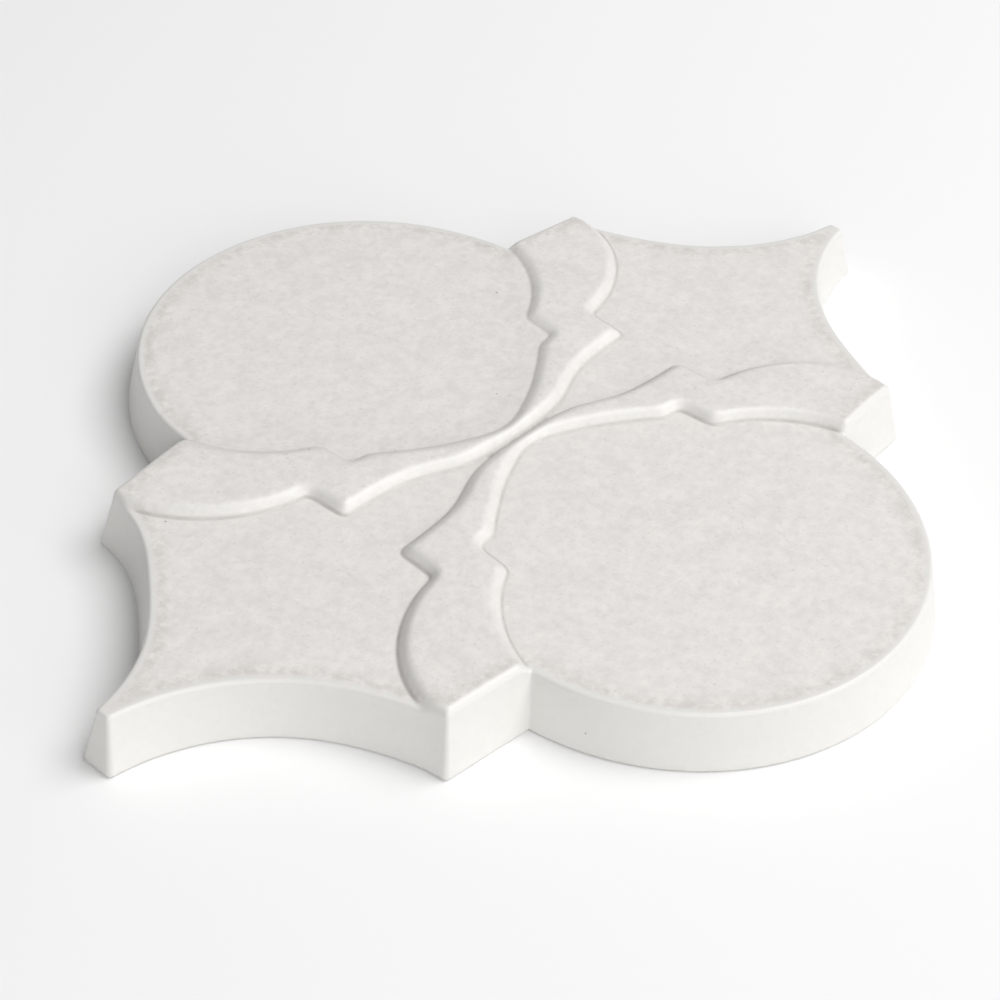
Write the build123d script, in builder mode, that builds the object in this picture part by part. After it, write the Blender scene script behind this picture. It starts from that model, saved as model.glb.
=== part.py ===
# Relief wall tile of one pressed, fired and glazed piece, lying on its flat back with its face up.
# X runs from one sharp point to the other, Y from one round lobe to the other, and Z is up.
# The tile is the same on both sides of XZ and of YZ, so a quarter is drawn and mirrored twice.
from build123d import *
from math import atan, cos, degrees, radians, sin, sqrt
import os

# Outline at the height of the raised leaves, in millimetres
thickness = 12.7         # from the back to the flat fields, half an inch
lobe_radius = 49.6       # the two round lobes
lobe_y = 43.9            # centre of a lobe
bay_radius = 48.9        # the four hollow bays, which take the lobes of the tiles beside this one
bay_x = 120.1            # centre of a bay
bay_y = 49.6
joint_angle = 4.4        # degrees round the lobe to where the short straight edge starts
corner_angle = 8.2       # degrees round the bay to where the short straight edge ends
tip_x = 112.6            # end of a sharp point
tip_round = 1.0          # rounding of its two upright edges
corner_round = 0.8       # rounding of the upright edge between a straight edge and its bay
flare = 3.2              # how far the back stands out beyond this outline, all round
rim_radius = 1.1         # rounding of the rim, where the glaze thins
foot_chamfer = 0.5       # small relieved edge round the back

# Raised leaf strands, measured where they rise from the fields
relief_height = 2.0      # above the flat fields
relief_round = 1.0       # rounding of the upper edges
groove = 1.0             # gap between the two strands in the middle of the tile
neck_width = 3.1         # width of a strand in the middle of the tile
spike = (43.5, 7.6)      # outer point of the zigzag
spike_side = 10.0        # straight side from the outer point to the root of the leaf
notch = (31.5, 18.0)     # inner notch of the zigzag
notch_side = 8.5         # straight side from the inner notch to the leaf's shoulder
shoulder_step = 5.0      # from the inner notch back to the strand's inner corner
outer_bends = [(14, 1.4), (26, 6.0), (34, 7.2)]
inner_bends = [(19.5, 12.2), (11, 7.2)]
leaf_bulge = 6.9         # rise of the leaf's outer edge over its chord
leaf_hollow = 3.8        # rise of the leaf's inner edge over its chord
leaf_inset = 1.0         # from each end of the straight edge in to the leaf
overrun = 3.0            # how far the strand's outline is drawn past the tile's edge
root_depth = 3.0         # how far a strand reaches down into the body

os.makedirs("parts", exist_ok=True)

face_height = thickness + relief_height
flare_angle = degrees(atan(flare / face_height))

# Ends of the short straight edge, and the direction out of the tile across it
joint = Vector(lobe_radius * cos(radians(joint_angle)), lobe_y + lobe_radius * sin(radians(joint_angle)))
corner = Vector(bay_x - bay_radius * cos(radians(corner_angle)), bay_y - bay_radius * sin(radians(corner_angle)))
along = (corner - joint).normalized()
outward = Vector(-along.Y, along.X)
tip_y = bay_y - sqrt(bay_radius**2 - (bay_x - tip_x) ** 2)
tip_angle = degrees(atan((bay_y - tip_y) / (bay_x - tip_x)))

# Corners of a strand
leaf_outer = corner - along * leaf_inset + outward * overrun
leaf_inner = joint + along * leaf_inset + outward * overrun
leaf_root = Vector(*spike) + Vector(0.5, spike_side)
leaf_shoulder = Vector(*notch) + Vector(0.7, notch_side)
strand_shoulder = Vector(*notch) - Vector(shoulder_step, 0.5)

# The outline of the face, and the bands of the two strands
with BuildSketch(Plane.XY.offset(face_height)) as outline:
    with BuildLine():
        CenterArc((0, lobe_y), lobe_radius, 90, joint_angle - 90)
        Line(joint, corner)
        CenterArc((bay_x, bay_y), bay_radius, 180 + corner_angle, tip_angle - corner_angle)
        Polyline((tip_x, tip_y), (tip_x, 0), (0, 0), (0, lobe_y + lobe_radius))
    make_face()
    mirror(about=Plane.YZ)
    mirror(about=Plane.XZ)
    fillet(outline.vertices().filter_by(lambda vertex: abs(vertex.X) > tip_x - 0.1), tip_round)
    fillet(outline.vertices().filter_by(lambda vertex: abs(abs(vertex.X) - corner.X) < 0.1), corner_round)

with BuildSketch(Plane.XY.offset(thickness - root_depth)) as bands:
    with BuildLine():
        Spline((0, groove / 2), *outer_bends, spike, tangents=((1, 0), (1, 0)))
        Line(spike, leaf_root)
        SagittaArc(leaf_root, leaf_outer, -leaf_bulge)
        Line(leaf_outer, leaf_inner)
        SagittaArc(leaf_inner, leaf_shoulder, leaf_hollow)
        Polyline(leaf_shoulder, notch, strand_shoulder)
        Spline(strand_shoulder, *inner_bends, (0, groove / 2 + neck_width), tangents=((-1, -1), (-1, 0)))
        Line((0, groove / 2 + neck_width), (0, groove / 2))
    make_face()
    mirror(about=Plane.YZ)
    mirror(about=Plane.XZ)

# Body up to the flat fields, wider at the back, with the rim rounded under the glaze
with BuildPart() as body:
    extrude(outline.sketch, amount=-face_height, taper=-flare_angle)
    split(bisect_by=Plane.XY.offset(thickness), keep=Keep.BOTTOM)
    fillet(body.edges().group_by(Axis.Z)[-1], rim_radius)
    chamfer(body.edges().group_by(Axis.Z)[0], foot_chamfer)

# Bands of the strands, each narrowing to the middle between a zigzag and a leaf at each end
with BuildPart() as strands:
    extrude(bands.sketch, amount=root_depth + relief_height)
    fillet(strands.edges().group_by(Axis.Z)[-1], relief_round)

# The strands end flush with the tile's sides, and their ends have the same rounded rim
with BuildPart() as relief:
    extrude(outline.sketch, amount=-face_height, taper=-flare_angle)
    fillet(relief.edges().group_by(Axis.Z)[-1], rim_radius)
    add(strands.part, mode=Mode.INTERSECT)

# The tile is pressed in one piece
with BuildPart() as relief_tile:
    add(body.part)
    add(relief.part)

relief_tile.part.label = "relief_tile"
export_step(relief_tile.part, "parts/relief_tile.step")
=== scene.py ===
"""Looks of a relief tile of glazed stoneware, lying face up on a pale floor."""
import math

import bpy
import numpy as np
from mathutils import Matrix, Vector
from mathutils.geometry import delaunay_2d_cdt


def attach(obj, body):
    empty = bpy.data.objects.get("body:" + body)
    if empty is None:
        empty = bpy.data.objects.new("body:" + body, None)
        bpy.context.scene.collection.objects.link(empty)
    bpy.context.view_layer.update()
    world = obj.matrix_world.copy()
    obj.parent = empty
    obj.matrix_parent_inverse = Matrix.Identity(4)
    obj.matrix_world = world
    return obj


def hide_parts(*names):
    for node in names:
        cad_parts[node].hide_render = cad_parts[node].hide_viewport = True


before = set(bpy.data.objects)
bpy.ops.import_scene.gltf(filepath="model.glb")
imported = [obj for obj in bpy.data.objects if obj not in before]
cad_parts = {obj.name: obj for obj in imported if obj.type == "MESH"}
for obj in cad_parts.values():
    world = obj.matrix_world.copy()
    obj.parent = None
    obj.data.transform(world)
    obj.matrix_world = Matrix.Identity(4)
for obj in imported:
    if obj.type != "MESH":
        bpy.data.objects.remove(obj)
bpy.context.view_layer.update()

MM = 0.001

# Camera, fitted to the photograph: degrees, millimetres, and the focal length in picture widths
CAMERA_TURN = 49.75
CAMERA_ELEVATION = 40.32
CAMERA_ROLL = -3.11
CAMERA_DISTANCE = 501.0
CAMERA_SIDE = (3.29, 3.36)
FOCAL_IN_WIDTHS = 2.357
SENSOR_WIDTH = 36.0

# Lamps: turn in plan and rise above the floor, in degrees, and power in watts; then lengths in metres
LAMPS = {
    "high_right_lamp": (-35, 60, 22.6),
    "low_right_lamp": (-80, 25, 4.7),
    "low_front_lamp": (-125, 25, 11.4),
}
LAMP_DISTANCE = 1.8
LAMP_SIZE = 1.25
WORLD_LIGHT = 0.262
FLOOR_SIZE = 6.0

# The tile's outline at the height of its raised leaves, in millimetres and degrees
FIELD_HEIGHT = 12.7
RELIEF_HEIGHT = 2.0
FACE_HEIGHT = FIELD_HEIGHT + RELIEF_HEIGHT
LOBE_RADIUS = 49.6
LOBE_CENTRE = np.array([0.0, 43.9])
BAY_RADIUS = 48.9
BAY_CENTRE = np.array([120.1, 49.6])
JOINT_ANGLE = 4.4
CORNER_ANGLE = 5.3
TIP_X = 112.6
FLARE = 3.2
FACE_ROUND = 0.8
BACK_ROUND = 1.3
RIM_RADIUS = 0.8
LEAF_RIM_RADIUS = 1.7
FOOT_ROUND = 0.9

# A strand in the quarter X > 0, Y > 0, at its foot, in millimetres
GROOVE = 1.0
NECK_WIDTH = 3.1
SPIKE = np.array([43.5, 7.6])
LEAF_ROOT = SPIKE + (0.5, 10.0)
NOTCH = np.array([31.5, 18.0])
LEAF_SHOULDER = NOTCH + (0.7, 8.5)
STRAND_SHOULDER = NOTCH - (5.0, 0.5)
OUTER_BENDS = [(14.0, 1.4), (26.0, 6.0), (34.0, 7.2)]
INNER_BENDS = [(11.0, 7.2), (19.5, 12.2)]
LEAF_BULGE = 6.9
LEAF_HOLLOW = 3.8
LEAF_INSET = 1.0
LEAF_OVERHANG = 2.0
OVERRUN = 3.0

# How firing and glazing softened the relief, in millimetres: its flanks, and the groove and filling at
# their feet. The flank's power alone has no unit.
FLANK_WIDTH = 2.4
FLANK_POWER = 2.2
SOFTNESS = 0.6
FOOT_GROOVE_DEPTH = 0.14
FILL_HEIGHT = 0.8
FILL_REACH = 4.0

# Hand pressing, in millimetres: its shallow waves, and the places where it leaves the plan, each with
# its centre, shift and reach
WAVE_HEIGHT = 0.05
LONG_WAVES = (17.0, 21.0)
SHORT_WAVES = (11.0, 14.0)
SHORT_WAVE_SHARE = 0.6
PRESSED = (
    ((-74.0, -46.5), (1.3, -0.6), 11.0),
    ((-73.0, 46.5), (0.0, -0.4), 11.0),
    ((73.0, -46.5), (-3.0, -1.2), 11.0),
    ((71.5, 45.2), (-1.6, 0.0), 11.0),
    ((-83.0, 19.0), (-1.3, 1.6), 16.0),
)

# Bell curves, as middle and width in millimetres: three by the distance into a strand from its foot line,
# then two by the distance inwards from the rim, and how much of two marks is kept or lost
FOOT_GROOVE = (-0.4, 0.4)
# The crease's bell curve below places painted shade along the strands' feet.
FOOT_CREASE_SHADE = (-0.2, 0.35)
THIN_FLANK = (1.3, 0.6)
POOLED_BAND = (1.4, 1.5)
THIN_RIM = (0.0, 0.7)
THIN_FLANK_SHARE = 0.7
FILLED_CREASE_LOSS = 0.9

# Spacing of the face's points, in millimetres: along and across the rows beside a strand's line, in the
# open fields, and how far they keep from the rows, the axes and the edge. A point of a row is dropped if
# another part of its line is nearer by more than the mitre's slack, and points nearer than the merging
# distance become one.
ALONG = 0.5
ACROSS = 0.3
OPEN_FIELD = 2.2
OPEN_START = 0.4
OPEN_COUNT = 60
ROW_CLEARANCE = 1.0
AXIS_CLEARANCE = (ALONG / 3, 0.15)
EDGE_CLEARANCE = 0.3
MITRE_SLACK = 0.02
MERGE_WITHIN = 1e-5
RIM_ROWS = np.array([0.4, 0.9, 1.5, 2.3, 3.3])

# Points on each stretch of the outline and on the strands' straight sides, about ALONG apart
LOBE_POINTS = 152
EDGE_POINTS = 46
BAY_POINTS = 120
ROUNDING_POINTS = 8
TIP_POINTS = 3
SPIKE_POINTS = 20
SHOULDER_POINTS = 10
NOTCH_POINTS = 16

# How many points away the wear of a corner reaches
WEAR_POINTS = 5

# Grid of the relief over the quarter, in millimetres, and how many cells its blur reaches
CELL = 0.25
GRID_START = -3.0
GRID_ENDS = (80.0, 60.0)
BLUR_CELLS = 8

# Rings round the rim, down the wall and round the foot: degrees or shares, and how bare of glaze they are
RIM_TURNS = (75, 58, 42, 27, 12, 0)
RIM_BARE = (0.7, 0.9, 1.0, 0.9, 0.8, 0.7)
WALL_SHARES = (0.2, 0.45, 0.7, 0.9, 1.0)
WALL_BARE = 0.8
FOOT_TURNS = (30, 60, 90)

# The glaze, in millimetres: size of its grain, clouds and iron flecks, height of its orange peel, and the
# spacing and radius of its pinholes; then the clouds' weight beside the grain, the share of the pinholes
# that shows, and the share of a pinhole's radius that is its darkest part
GRAIN = 1.7
CLOUD = 6.0
FLECK = 0.8
PEEL = 0.03
PINHOLE_CELL = 7.0
PINHOLE_RADIUS = 0.3
CLOUD_WEIGHT = 0.45
PINHOLE_SHARE = 0.1
PINHOLE_CORE = 0.4


def direction(degrees):
    """Unit vector at an angle from +X."""
    return np.array([math.cos(math.radians(degrees)), math.sin(math.radians(degrees))])


def angle_of(vector):
    """Angle of a vector from +X, in degrees."""
    return math.degrees(math.atan2(vector[1], vector[0]))


def bell(distance, middle, width):
    """Bell curve of a distance, 1 at its middle: exp(-((distance - middle) / width) ** 2)."""
    return np.exp(-(((distance - middle) / width) ** 2))


def bell_weights(reach, spread):
    """Weights for the neighbours up to reach steps away on both sides, by a bell curve, adding up to 1."""
    weights = np.exp(-((np.arange(-reach, reach + 1) / spread) ** 2) / 2)
    return weights / weights.sum()


JOINT = LOBE_CENTRE + LOBE_RADIUS * direction(JOINT_ANGLE)
CORNER = BAY_CENTRE - BAY_RADIUS * direction(CORNER_ANGLE)
EDGE_ALONG = (CORNER - JOINT) / np.linalg.norm(CORNER - JOINT)
EDGE_OUT = np.array([-EDGE_ALONG[1], EDGE_ALONG[0]])


def arc(centre, radius, start, end, count):
    """Points on a circle from one angle to another, both included: centre + radius * (cos, sin)."""
    angles = np.radians(np.linspace(start, end, count))
    return centre + radius * np.stack([np.cos(angles), np.sin(angles)], 1)


def crossing(centre, radius, point, step, side):
    """Where the line point + t * step, with step of length 1, crosses a circle: at the larger root t for a
    side of 1, and at the smaller for -1."""
    offset = point - centre
    half = offset @ step
    return point + step * (-half + side * math.sqrt(half * half - offset @ offset + radius * radius))


def rounding_centre(line_point, line_along, bay_radius, rounding):
    """Centre of a rounding that touches a straight line from inside and the bay from outside: the first
    point, along the line moved in by the rounding, that is bay_radius + rounding from the bay's centre."""
    inwards = np.array([line_along[1], -line_along[0]])
    start = line_point + inwards * rounding * np.sign(inwards @ -line_point)
    return crossing(BAY_CENTRE, bay_radius + rounding, start, line_along, -1)


def joined(stretches):
    """One line from stretches that each start where the one before ends."""
    return np.concatenate([stretches[0]] + [stretch[1:] for stretch in stretches[1:]])


def quarter_outline(out, rounding):
    """Outline of the quarter X > 0, Y > 0 moved outwards by out, from the top of the lobe to the X axis.
    Lobe arc, straight edge, rounded corner, bay arc and rounded tip, each with a fixed number of points."""
    line_point = JOINT + EDGE_OUT * out
    joint = crossing(LOBE_CENTRE, LOBE_RADIUS + out, line_point, EDGE_ALONG, 1)
    bay_radius = BAY_RADIUS - out
    tip_line = np.array([TIP_X + out, 0.0])
    corner = rounding_centre(line_point, EDGE_ALONG, bay_radius, rounding)
    tip = rounding_centre(tip_line, np.array([0.0, 1.0]), bay_radius, rounding)
    to_corner = angle_of(BAY_CENTRE - corner)
    to_tip = angle_of(BAY_CENTRE - tip)
    stretches = [
        arc(LOBE_CENTRE, LOBE_RADIUS + out, 90, angle_of(joint - LOBE_CENTRE), LOBE_POINTS),
        np.linspace(joint, corner + EDGE_OUT * rounding, EDGE_POINTS),
        arc(corner, rounding, angle_of(EDGE_OUT), to_corner, ROUNDING_POINTS),
        arc(BAY_CENTRE, bay_radius, 180 + to_corner, 180 + to_tip, BAY_POINTS),
        arc(tip, rounding, to_tip, 0, ROUNDING_POINTS),
        np.linspace(tip + (rounding, 0), tip_line, TIP_POINTS),
    ]
    return joined(stretches)


def mirrored_loop(quarter):
    """Closed loop from a quarter line that starts on +Y and ends on +X, mirrored about both axes."""
    right = np.concatenate([quarter, quarter[-2::-1] * (1, -1)])
    return np.concatenate([right, right[-2:0:-1] * (-1, 1)])


FACE_LOOP = mirrored_loop(quarter_outline(0.0, FACE_ROUND))
BACK_LOOP = mirrored_loop(quarter_outline(FLARE, BACK_ROUND))


def outline(out):
    """The whole outline moved outwards by out, one number or one for each point, on straight lines between
    the outline of the face and that of the back."""
    share = np.asarray(out, float) / FLARE
    share = share.reshape(-1, 1) if share.ndim else share
    return FACE_LOOP + (BACK_LOOP - FACE_LOOP) * share


def wall_out(height):
    """How far the flared wall stands out beyond the face's outline at a height above the back."""
    return FLARE * (1 - height / FACE_HEIGHT)


def smooth_curve(points, start_tangent, end_tangent):
    """Cubic Hermite curve through points, with chord-based tangents inside and given ones at its ends."""
    points = np.array(points, float)
    chords = np.linalg.norm(np.diff(points, axis=0), axis=1)
    knots = np.concatenate([[0], np.cumsum(chords)])
    tangents = np.empty_like(points)
    tangents[1:-1] = (points[2:] - points[:-2]) / (knots[2:] - knots[:-2])[:, None]
    tangents[0] = np.array(start_tangent) / np.linalg.norm(start_tangent)
    tangents[-1] = np.array(end_tangent) / np.linalg.norm(end_tangent)
    pieces = []
    for i, chord in enumerate(chords):
        t = np.linspace(0, 1, max(3, round(chord / ALONG)), endpoint=False)[:, None]
        pieces.append(
            (2 * t**3 - 3 * t**2 + 1) * points[i]
            + (t**3 - 2 * t**2 + t) * chord * tangents[i]
            + (3 * t**2 - 2 * t**3) * points[i + 1]
            + (t**3 - t**2) * chord * tangents[i + 1]
        )
    return np.concatenate(pieces + [points[-1:]])


def bowed(start, end, rise):
    """Arc from start to end that rises over its chord by rise, to the left of the way along it."""
    chord = end - start
    half = np.linalg.norm(chord) / 2
    left = np.array([-chord[1], chord[0]]) / (2 * half)
    radius = (half * half + rise * rise) / (2 * rise)
    centre = (start + end) / 2 + left * (rise - radius)
    first = angle_of((start - centre) * np.sign(radius))
    last = angle_of((end - centre) * np.sign(radius))
    turn = (last - first + 180) % 360 - 180
    return arc(centre, radius, first, first + turn, max(4, round(2 * half / ALONG)))


def rounded(line):
    """A line with its corners worn round: each point is the mean of its neighbours, weighed by a bell curve
    of their count, and the two ends run straight on so that they stay where they are."""
    before = 2 * line[0] - line[WEAR_POINTS:0:-1]
    after = 2 * line[-1] - line[-2 : -2 - WEAR_POINTS : -1]
    padded = np.concatenate([before, line, after])
    weights = bell_weights(WEAR_POINTS, WEAR_POINTS / 2)
    return np.stack([np.convolve(column, weights, "valid") for column in padded.T], 1)


def strand_lines():
    """The two lines that bound a strand in the quarter X > 0, Y > 0, from the middle out past the tile's
    edge. The outer line runs along the groove to the spike, up to the leaf's root and round the leaf. The
    inner line runs along the lobe's field to the notch, up to the leaf's shoulder and along the leaf."""
    outer_end = CORNER + EDGE_ALONG * LEAF_OVERHANG + EDGE_OUT
    inner_end = JOINT + EDGE_ALONG * LEAF_INSET + EDGE_OUT * OVERRUN
    outer = [
        smooth_curve([(0, GROOVE / 2), *OUTER_BENDS, SPIKE], (1, 0), (1, 0)),
        np.linspace(SPIKE, LEAF_ROOT, SPIKE_POINTS),
        bowed(LEAF_ROOT, outer_end, -LEAF_BULGE),
    ]
    inner = [
        smooth_curve([(0, GROOVE / 2 + NECK_WIDTH), *INNER_BENDS, STRAND_SHOULDER], (1, 0), (1, 1)),
        np.linspace(STRAND_SHOULDER, NOTCH, SHOULDER_POINTS),
        np.linspace(NOTCH, LEAF_SHOULDER, NOTCH_POINTS),
        bowed(LEAF_SHOULDER, inner_end, -LEAF_HOLLOW),
    ]
    return rounded(joined(outer)), rounded(joined(inner))


OUTER_LINE, INNER_LINE = strand_lines()
STRAND_POLYGON = np.concatenate([OUTER_LINE, INNER_LINE[::-1]])


def distance_to_line(points, line):
    """Distance of each point from a line of short straight pieces."""
    nearest = np.full(len(points), np.inf)
    for start, end in zip(line[:-1], line[1:]):
        step = end - start
        share = np.clip((points - start) @ step / (step @ step), 0, 1)[:, None]
        nearest = np.minimum(nearest, np.linalg.norm(points - start - share * step, axis=1))
    return nearest


def inside_polygon(points, polygon):
    """Whether each point is inside a closed polygon, by counting crossings of a ray along +X."""
    inside = np.zeros(len(points), bool)
    for start, end in zip(polygon, np.roll(polygon, -1, axis=0)):
        spans = (start[1] > points[:, 1]) != (end[1] > points[:, 1])
        rise = end[1] - start[1] if end[1] != start[1] else 1.0
        crossed_at = start[0] + (points[:, 1] - start[1]) * (end[0] - start[0]) / rise
        inside ^= spans & (points[:, 0] < crossed_at)
    return inside


def strand_depth(points):
    """How far each point is inside a strand's foot line, negative outside it, on the folded quarter."""
    folded = np.abs(points)
    depth = np.minimum(distance_to_line(folded, OUTER_LINE), distance_to_line(folded, INNER_LINE))
    return np.where(inside_polygon(folded, STRAND_POLYGON), depth, -depth)


def blurred(grid):
    """A grid softened by a bell curve. The cells at its far sides, past the strands, are nought."""
    steps = range(-BLUR_CELLS, BLUR_CELLS + 1)
    weights = bell_weights(BLUR_CELLS, SOFTNESS / CELL)
    for axis in (0, 1):
        grid = sum(weight * np.roll(grid, step, axis) for step, weight in zip(steps, weights))
    grid[-BLUR_CELLS:, :] = 0
    grid[:, -BLUR_CELLS:] = 0
    return grid


def softened_relief():
    """Height of the strands over the fields on a square grid over the quarter, and how much more the clay
    and glaze fill the inner foot of one strand. A flank rises steeply from its foot line and rounds over,
    as 1 - (1 - share) ** power. A fine groove, a bell curve, runs along its foot. The filling fades with
    the distance as a falling exponential."""
    sides = [np.arange(GRID_START, end, CELL) for end in GRID_ENDS]
    across, up = np.meshgrid(*sides, indexing="ij")
    points = np.stack([across.ravel(), up.ravel()], 1)
    folded = np.abs(points)
    inner_nearer = distance_to_line(folded, INNER_LINE) < distance_to_line(folded, OUTER_LINE)
    depth = strand_depth(points).reshape(across.shape)
    share = 1 - (1 - np.clip(depth / FLANK_WIDTH, 0, 1)) ** FLANK_POWER
    relief = blurred(RELIEF_HEIGHT * share) - FOOT_GROOVE_DEPTH * bell(depth, *FOOT_GROOVE)
    filling = FILL_HEIGHT * np.exp(np.minimum(depth, 0) / FILL_REACH) * (1 - share)
    return relief, blurred(filling * inner_nearer.reshape(across.shape))


RELIEF, FILLING = softened_relief()


def read_between(grid, points):
    """The value of a grid over the quarter at each point, read between its four nearest cells."""
    place = np.clip((np.abs(points) - GRID_START) / CELL, 0, np.array(grid.shape) - 1.001)
    left, low = place.astype(int).T
    right_share, up_share = (place - place.astype(int)).T
    lower = grid[left, low] * (1 - right_share) + grid[left + 1, low] * right_share
    upper = grid[left, low + 1] * (1 - right_share) + grid[left + 1, low + 1] * right_share
    return lower * (1 - up_share) + upper * up_share


def filled(points):
    """How much the inner foot of the strand round the lobe on +Y is filled at each point, in millimetres."""
    return read_between(FILLING, points) * (points[:, 1] > 0)


def pressing_waves(points):
    """Shallow waves of hand pressing, from about -1.6 to 1.6: the product of a sine along X and a cosine
    along Y, and a weaker product of the same kind along the diagonals."""
    x, y = points.T
    long_waves = np.sin(x / LONG_WAVES[0] + 1.3) * np.cos(y / LONG_WAVES[1] - 0.4)
    short_waves = np.sin((x + y) / SHORT_WAVES[0]) * np.cos((x - y) / SHORT_WAVES[1] + 2)
    return long_waves + SHORT_WAVE_SHARE * short_waves


def surface_height(points):
    """Height of the glazed face in mm: the fields' level, the relief, the filled foot and the waves."""
    relief = read_between(RELIEF, points) + filled(points)
    return FIELD_HEIGHT + relief + WAVE_HEIGHT * pressing_waves(points)


def hand_pressed(points):
    """The plan as the real piece has it: each point shifted by the pushes of PRESSED, which fade from their
    centres by a bell curve of the distance."""
    moved = points.copy()
    for centre, shift, reach in PRESSED:
        fade = np.exp(-(((points - centre) / reach) ** 2).sum(1))
        moved += fade[:, None] * shift
    return moved


def rows_beside(line, offsets):
    """Points in rows at given distances on both sides of a line, kept where no other part of the line is
    nearer, so that the rows end in a mitre at a corner."""
    steps = np.gradient(line, axis=0)
    normals = np.stack([-steps[:, 1], steps[:, 0]], 1) / np.linalg.norm(steps, axis=1)[:, None]
    points = np.concatenate([line + normals * offset for offset in offsets])
    wanted = np.repeat(np.abs(offsets), len(line))
    return points[distance_to_line(points, line) > wanted - MITRE_SLACK]


def open_field_points(edge):
    """Hexagonal grid over the quarter, clear of the rows beside the strands' lines and the face's edge."""
    across, up = np.meshgrid(np.arange(OPEN_COUNT), np.arange(OPEN_COUNT))
    grid = np.stack([across + 0.5 * (up % 2), up * math.sqrt(3) / 2], -1).reshape(-1, 2)
    grid = grid * OPEN_FIELD + OPEN_START
    near_strand = np.minimum(distance_to_line(grid, OUTER_LINE), distance_to_line(grid, INNER_LINE))
    off_strands = near_strand > FLANK_WIDTH + ROW_CLEARANCE
    off_rim = distance_to_line(grid, edge) > RIM_ROWS[-1] + ROW_CLEARANCE
    return grid[off_strands & off_rim]


def face_points(edge):
    """Points of the face inside its rim, of which edge is the quarter's inner line: rows beside that line
    and beside the strands' lines, and an open grid between them, mirrored about both axes."""
    offsets = np.arange(-3 * ACROSS, FLANK_WIDTH + 2 * ACROSS, ACROSS)
    quarter = np.concatenate([
        rows_beside(OUTER_LINE, offsets),
        rows_beside(INNER_LINE, -offsets),
        rows_beside(edge, -RIM_ROWS),
        open_field_points(edge),
    ])
    quarter = quarter[(quarter > AXIS_CLEARANCE).all(1)]
    quarter = quarter[distance_to_line(quarter, edge) > EDGE_CLEARANCE]
    quarter = quarter[inside_polygon(quarter, np.concatenate([edge, [(0.0, 0.0)]]))]
    return np.concatenate([quarter * sign for sign in ((1, 1), (-1, 1), (-1, -1), (1, -1))])


def triangulated_face(ring, edge):
    """Plan points of the face and the triangles between them. The points of its closed ring come first."""
    numbers = np.arange(len(ring))
    loop = np.stack([numbers, np.roll(numbers, -1)], 1).tolist()
    plan = [Vector(point) for point in np.concatenate([ring, face_points(edge)])]
    keep_inside = 1
    found = delaunay_2d_cdt(plan, loop, [], keep_inside, MERGE_WITHIN)
    return np.array([tuple(point) for point in found[0]]), [list(triangle) for triangle in found[2]]


def glaze_marks(points, edge):
    """How much each point of the face belongs to the crease at the strands' feet, which takes painted shade,
    to the band inside the rim where the glaze lies thick, and to the places where it ran thin, as bell
    curves of the distance."""
    depth = strand_depth(points)
    from_rim = distance_to_line(np.abs(points), edge)
    # Painted shade: the crease along the strands' feet is darkened in the material where shade falls, and
    # less where the foot is filled.
    crease = bell(depth, *FOOT_CREASE_SHADE) * (1 - FILLED_CREASE_LOSS * filled(points) / FILL_HEIGHT)
    thin = np.maximum(THIN_FLANK_SHARE * bell(depth, *THIN_FLANK), bell(from_rim, *THIN_RIM))
    return {"foot_crease_shade": crease, "rim_band": bell(from_rim, *POOLED_BAND), "thin_glaze": thin}


def wall_rings(radius, rim_out):
    """Closed rings round the rim by a quarter circle, down the straight wall, and round the foot, each as
    its plan, its height at each point, and how bare of glaze it is."""
    rings = []
    for turn, bare in zip(np.radians(RIM_TURNS), RIM_BARE):
        ring = outline(rim_out - radius * (1 - math.cos(turn)))
        rings.append((ring, surface_height(ring) - radius * (1 - math.sin(turn)), bare))
    wall_top = rings[-1][1]
    for share in WALL_SHARES:
        height = wall_top + (FOOT_ROUND - wall_top) * share
        rings.append((outline(wall_out(height)), height, WALL_BARE))
    for turn in np.radians(FOOT_TURNS):
        height = np.full(len(wall_top), FOOT_ROUND * (1 - math.sin(turn)))
        rings.append((outline(wall_out(height) - FOOT_ROUND * (1 - math.cos(turn))), height, WALL_BARE))
    return rings


def strip_faces(upper, lower):
    """Four-cornered faces between two closed rings of the same count."""
    ahead = np.roll(np.arange(len(upper)), -1)
    return np.stack([upper, upper[ahead], lower[ahead], lower], 1).tolist()


def make_mesh(name, vertices, faces, marks):
    """A mesh object at the origin from vertices in millimetres, lists of vertex numbers, and named values
    for each vertex that its material reads."""
    mesh = bpy.data.meshes.new(name)
    mesh.from_pydata((vertices * MM).tolist(), [], faces)
    for mark, values in marks.items():
        mesh.attributes.new(mark, "FLOAT", "POINT").data.foreach_set("value", values.astype(np.float32))
    mesh.shade_smooth()
    piece = bpy.data.objects.new(name, mesh)
    bpy.context.scene.collection.objects.link(piece)
    return piece


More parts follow.
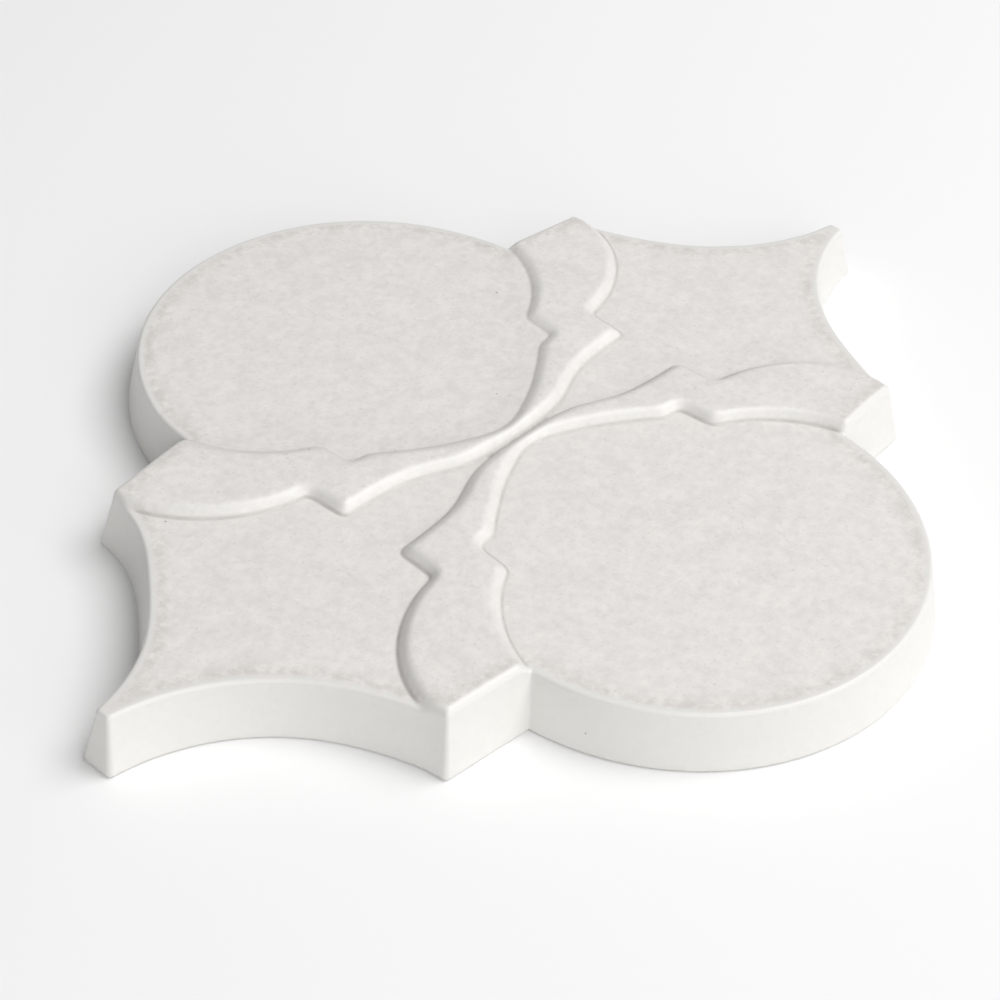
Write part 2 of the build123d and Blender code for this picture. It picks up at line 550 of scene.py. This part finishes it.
def glazed_body():
    """The tile as one closed mesh. Its face is a height over the plan, and the rings of its wall lead from
    there to the middle of the back. The rim's rounding grows from the fields to the leaves."""
    field_out = wall_out(FIELD_HEIGHT)
    quarter_edge = quarter_outline(field_out - RIM_RADIUS, FACE_ROUND)
    top = surface_height(outline(field_out))
    raised = np.clip((top - FIELD_HEIGHT) / RELIEF_HEIGHT, 0, 1)
    radius = RIM_RADIUS + (LEAF_RIM_RADIUS - RIM_RADIUS) * raised
    rim_out = wall_out(top - radius)
    face_plan, faces = triangulated_face(outline(rim_out - radius), quarter_edge)
    vertices = [np.column_stack([face_plan, surface_height(face_plan)])]
    marks = {name: [values] for name, values in glaze_marks(face_plan, quarter_edge).items()}

    numbers = np.arange(len(top))
    previous = numbers
    start = len(face_plan)
    for ring, height, bare in wall_rings(radius, rim_out):
        vertices.append(np.column_stack([ring, height]))
        for name, values in marks.items():
            values.append(np.full(len(ring), bare if name == "thin_glaze" else 0.0))
        faces += strip_faces(previous, start + numbers)
        previous = start + numbers
        start += len(ring)
    vertices.append(np.zeros((1, 3)))
    faces += [[int(one), int(other), start] for one, other in zip(previous, np.roll(previous, -1))]

    marks = {name: np.append(np.concatenate(values), 0.0) for name, values in marks.items()}
    vertices = np.concatenate(vertices)
    vertices[:, :2] = hand_pressed(vertices[:, :2])
    return make_mesh("glazed_body", vertices, faces, marks)


def linear(code):
    """Linear colour with alpha from an sRGB hex code."""
    values = [int(code[i : i + 2], 16) / 255 for i in (1, 3, 5)]
    return [v / 12.92 if v <= 0.04045 else ((v + 0.055) / 1.055) ** 2.4 for v in values] + [1.0]


def add_node(tree, kind, settings=None, inputs=None):
    """A node with its settings, and its inputs set to values or linked from other nodes' sockets."""
    node = tree.nodes.new(kind)
    for name, value in (settings or {}).items():
        setattr(node, name, value)
    for name, value in (inputs or {}).items():
        if isinstance(value, bpy.types.NodeSocket):
            tree.links.new(value, node.inputs[name])
        else:
            node.inputs[name].default_value = value
    return node


def new_material(name):
    """An empty node material and its tree."""
    material = bpy.data.materials.new(name)
    material.use_nodes = True
    material.node_tree.nodes.clear()
    return material, material.node_tree


def pooled_glaze_and_crease_shade(tree, colour, grain, blend):
    """The glaze's colour in patches inside the rim, where it lies thick, and in the crease at the strands'
    feet, where shade is painted in with a little thick glaze. It is a little darker and browner there."""
    patchy = add_node(tree, "ShaderNodeMapRange", None, {
        "Value": blend, "From Min": 0.6, "From Max": 0.85, "To Min": 0.45, "To Max": 0.06}).outputs["Result"]
    band = add_node(tree, "ShaderNodeAttribute", {"attribute_name": "rim_band"}).outputs["Fac"]
    band = add_node(tree, "ShaderNodeMath", {"operation": "MULTIPLY"}, {
        0: band, 1: patchy}).outputs["Value"]
    colour = add_node(tree, "ShaderNodeMixRGB", None, {
        "Fac": band, "Color1": colour, "Color2": linear("#C9C1BB")}).outputs["Color"]
    # Painted shade: the crease at the strands' feet is darkened towards #96908B where shade falls, with a
    # little thick glaze.
    crease = add_node(tree, "ShaderNodeAttribute", {"attribute_name": "foot_crease_shade"}).outputs["Fac"]
    crease = add_node(tree, "ShaderNodeMath", {"operation": "MULTIPLY"}, {
        0: crease, 1: grain}).outputs["Value"]
    return add_node(tree, "ShaderNodeMixRGB", None, {
        "Fac": crease, "Color1": colour, "Color2": linear("#96908B")}).outputs["Color"]


def flecked_and_thin(tree, colour, place):
    """Soft iron flecks in the glaze, which fade where it ran thin and white over the edges and walls."""
    flecks = add_node(tree, "ShaderNodeTexNoise", None, {
        "Vector": place, "Scale": 1 / (FLECK * MM), "Detail": 1.0}).outputs["Fac"]
    flecks = add_node(tree, "ShaderNodeMapRange", None, {
        "Value": flecks, "From Min": 0.62, "From Max": 0.78, "To Max": 0.26}).outputs["Result"]
    colour = add_node(tree, "ShaderNodeMixRGB", None, {
        "Fac": flecks, "Color1": colour, "Color2": linear("#B9B2AB")}).outputs["Color"]
    thin = add_node(tree, "ShaderNodeAttribute", {"attribute_name": "thin_glaze"}).outputs["Fac"]
    return add_node(tree, "ShaderNodeMixRGB", None, {
        "Fac": thin, "Color1": colour, "Color2": linear("#E4E3DF")}).outputs["Color"]


def pinholed(tree, colour, place):
    """A few dark pinholes: the middles of random cells, of which only a share is chosen."""
    cells = add_node(tree, "ShaderNodeTexVoronoi", None, {
        "Vector": place, "Scale": 1 / (PINHOLE_CELL * MM)})
    chance = add_node(tree, "ShaderNodeSeparateColor", None, {
        "Color": cells.outputs["Color"]}).outputs["Red"]
    chosen = add_node(tree, "ShaderNodeMath", {"operation": "LESS_THAN"}, {
        0: chance, 1: PINHOLE_SHARE}).outputs["Value"]
    near = add_node(tree, "ShaderNodeMapRange", None, {
        "Value": cells.outputs["Distance"], "From Min": PINHOLE_CORE * PINHOLE_RADIUS / PINHOLE_CELL,
        "From Max": PINHOLE_RADIUS / PINHOLE_CELL, "To Min": 0.9, "To Max": 0.0}).outputs["Result"]
    hole = add_node(tree, "ShaderNodeMath", {"operation": "MULTIPLY"}, {
        0: chosen, 1: near}).outputs["Value"]
    return add_node(tree, "ShaderNodeMixRGB", None, {
        "Fac": hole, "Color1": colour, "Color2": linear("#8A8079")}).outputs["Color"]


def satin_white_glaze():
    """Satin tin-white glaze on pressed stoneware. It is an opaque warm white with a fine mottled grain,
    a little darker where it lies thick inside the rim, with painted shade in the crease at the strands'
    feet, and whiter where it ran thin, with small iron flecks, a few pinholes and a faint orange peel."""
    material, tree = new_material("satin_white_glaze")
    place = add_node(tree, "ShaderNodeTexCoord").outputs["Object"]
    grain = add_node(tree, "ShaderNodeTexNoise", None, {
        "Vector": place, "Scale": 1 / (GRAIN * MM), "Detail": 4.0, "Roughness": 0.6}).outputs["Fac"]
    cloud = add_node(tree, "ShaderNodeTexNoise", None, {
        "Vector": place, "Scale": 1 / (CLOUD * MM), "Detail": 2.0}).outputs["Fac"]
    blend = add_node(tree, "ShaderNodeMath", {"operation": "MULTIPLY_ADD"}, {
        0: cloud, 1: CLOUD_WEIGHT, 2: grain}).outputs["Value"]
    tone = add_node(tree, "ShaderNodeMapRange", None, {
        "Value": blend, "From Min": 0.53, "From Max": 0.92}).outputs["Result"]
    colour = add_node(tree, "ShaderNodeMixRGB", None, {
        "Fac": tone, "Color1": linear("#E0DDDA"), "Color2": linear("#EDEAE6")}).outputs["Color"]
    colour = pooled_glaze_and_crease_shade(tree, colour, grain, blend)
    colour = flecked_and_thin(tree, colour, place)
    colour = pinholed(tree, colour, place)
    peel = add_node(tree, "ShaderNodeBump", None, {
        "Height": blend, "Strength": 0.5, "Distance": PEEL * MM}).outputs["Normal"]
    shader = add_node(tree, "ShaderNodeBsdfPrincipled", None, {
        "Base Color": colour, "Roughness": 0.38, "IOR": 1.5, "Normal": peel})
    add_node(tree, "ShaderNodeOutputMaterial", None, {"Surface": shader.outputs["BSDF"]})
    return material


def pale_floor():
    """Plain matt backdrop paper, near white, that keeps the tile's shadow."""
    material, tree = new_material("pale_floor")
    diffuse = add_node(tree, "ShaderNodeBsdfDiffuse", None, {"Color": linear("#F8F8F8")})
    add_node(tree, "ShaderNodeOutputMaterial", None, {"Surface": diffuse.outputs["BSDF"]})
    return material


def set_camera():
    """Camera at the photograph's viewing angle: turned about Z, raised, rolled about its own axis, and
    moved back along it."""
    turned = Matrix.Rotation(math.radians(-CAMERA_TURN), 3, "Z")
    raised = Matrix.Rotation(math.radians(90 - CAMERA_ELEVATION), 3, "X")
    rolled = Matrix.Rotation(math.radians(-CAMERA_ROLL), 3, "Z")
    rotation = turned @ raised @ rolled
    place = rotation @ Vector((-CAMERA_SIDE[0], -CAMERA_SIDE[1], CAMERA_DISTANCE)) * MM
    data = bpy.data.cameras.new("camera")
    data.sensor_width = SENSOR_WIDTH
    data.lens = FOCAL_IN_WIDTHS * SENSOR_WIDTH
    data.clip_start = 0.01
    camera = bpy.data.objects.new("camera", data)
    camera.matrix_world = Matrix.Translation(place) @ rotation.to_4x4()
    bpy.context.scene.collection.objects.link(camera)
    bpy.context.scene.camera = camera


def add_lamp(name, turn, rise, power):
    """A square soft lamp aimed at the tile, from an angle in plan and a rise above the floor in degrees."""
    data = bpy.data.lights.new(name, "AREA")
    data.size = LAMP_SIZE
    data.energy = power
    lamp = bpy.data.objects.new(name, data)
    level = LAMP_DISTANCE * math.cos(math.radians(rise))
    lamp.location = (*(level * direction(turn)), LAMP_DISTANCE * math.sin(math.radians(rise)))
    lamp.rotation_euler = (-lamp.location).to_track_quat("-Z", "Y").to_euler()
    bpy.context.scene.collection.objects.link(lamp)


def set_stage():
    """Floor under the tile, soft lamps from the picture's right and front, and weak even light all round."""
    bpy.ops.mesh.primitive_plane_add(size=FLOOR_SIZE, location=(0, 0, 0))
    floor = bpy.context.object
    floor.name = "floor"
    floor.data.materials.append(pale_floor())
    for name, (turn, rise, power) in LAMPS.items():
        add_lamp(name, turn, rise, power)
    world = bpy.data.worlds.new("world")
    bpy.context.scene.world = world
    world.use_nodes = True
    background = world.node_tree.nodes["Background"]
    background.inputs["Color"].default_value = linear("#FFFFFF")
    background.inputs["Strength"].default_value = WORLD_LIGHT


bpy.context.scene.view_settings.view_transform = "Standard"
set_camera()
set_stage()

tile = glazed_body()
tile.data.materials.append(satin_white_glaze())
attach(tile, "root")
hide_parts("relief_tile")
